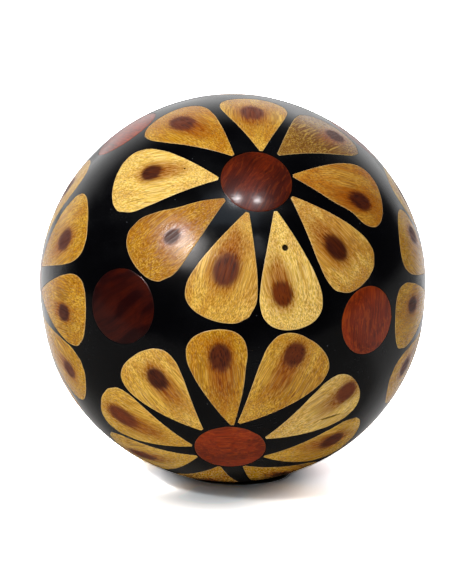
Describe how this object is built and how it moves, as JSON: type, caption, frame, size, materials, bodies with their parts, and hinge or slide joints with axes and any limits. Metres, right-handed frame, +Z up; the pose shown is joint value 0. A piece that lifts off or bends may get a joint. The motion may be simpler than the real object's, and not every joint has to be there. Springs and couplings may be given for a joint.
{
  "type": "decorative ball",
  "caption": "Glossy black decorative ball inlaid flush with bamboo petal flowers, redwood eyes and redwood discs, on a small flat.",
  "frame": {"origin": "middle of the small flat under the ball", "axes": "+Z up through the ball's centre, -Y towards the front, between the upper and lower front flowers"},
  "size_m": [0.0999, 0.0999, 0.0996],
  "materials": {
    "resin": "glossy black cast resin, polished, with faint specks and fine rubbing marks",
    "bamboo": "honey bamboo with fine fibres and a dark scorch mark near the butt, under clear lacquer",
    "redwood": "red-brown wood with fine straight grain, under clear lacquer"
  },
  "bodies": {
    "root": {"ball": "resin", "upper_front_eye": "redwood", "upper_front_petal_1": "bamboo", "upper_front_petal_2": "bamboo", "upper_front_petal_3": "bamboo", "upper_front_petal_4": "bamboo", "upper_front_petal_5": "bamboo", "upper_front_petal_6": "bamboo", "upper_front_petal_7": "bamboo", "upper_front_petal_8": "bamboo", "upper_front_petal_9": "bamboo", "lower_front_eye": "redwood", "lower_front_petal_1": "bamboo", "lower_front_petal_2": "bamboo", "lower_front_petal_3": "bamboo", "lower_front_petal_4": "bamboo", "lower_front_petal_5": "bamboo", "lower_front_petal_6": "bamboo", "lower_front_petal_7": "bamboo", "lower_front_petal_8": "bamboo", "lower_front_petal_9": "bamboo", "left_eye": "redwood", "left_petal_1": "bamboo", "left_petal_2": "bamboo", "left_petal_3": "bamboo", "left_petal_4": "bamboo", "left_petal_5": "bamboo", "left_petal_6": "bamboo", "left_petal_7": "bamboo", "left_petal_8": "bamboo", "left_petal_9": "bamboo", "right_eye": "redwood", "right_petal_1": "bamboo", "right_petal_2": "bamboo", "right_petal_3": "bamboo", "right_petal_4": "bamboo", "right_petal_5": "bamboo", "right_petal_6": "bamboo", "right_petal_7": "bamboo", "right_petal_8": "bamboo", "right_petal_9": "bamboo", "back_upper_eye": "redwood", "back_upper_petal_1": "bamboo", "back_upper_petal_2": "bamboo", "back_upper_petal_3": "bamboo", "back_upper_petal_4": "bamboo", "back_upper_petal_5": "bamboo", "back_upper_petal_6": "bamboo", "back_upper_petal_7": "bamboo", "back_upper_petal_8": "bamboo", "back_upper_petal_9": "bamboo", "back_lower_eye": "redwood", "corner_disc_1": "redwood", "corner_disc_2": "redwood", "corner_disc_3": "redwood", "corner_disc_4": "redwood", "corner_disc_5": "redwood", "corner_disc_6": "redwood", "corner_disc_7": "redwood", "corner_disc_8": "redwood"}
  },
  "joints": []
}
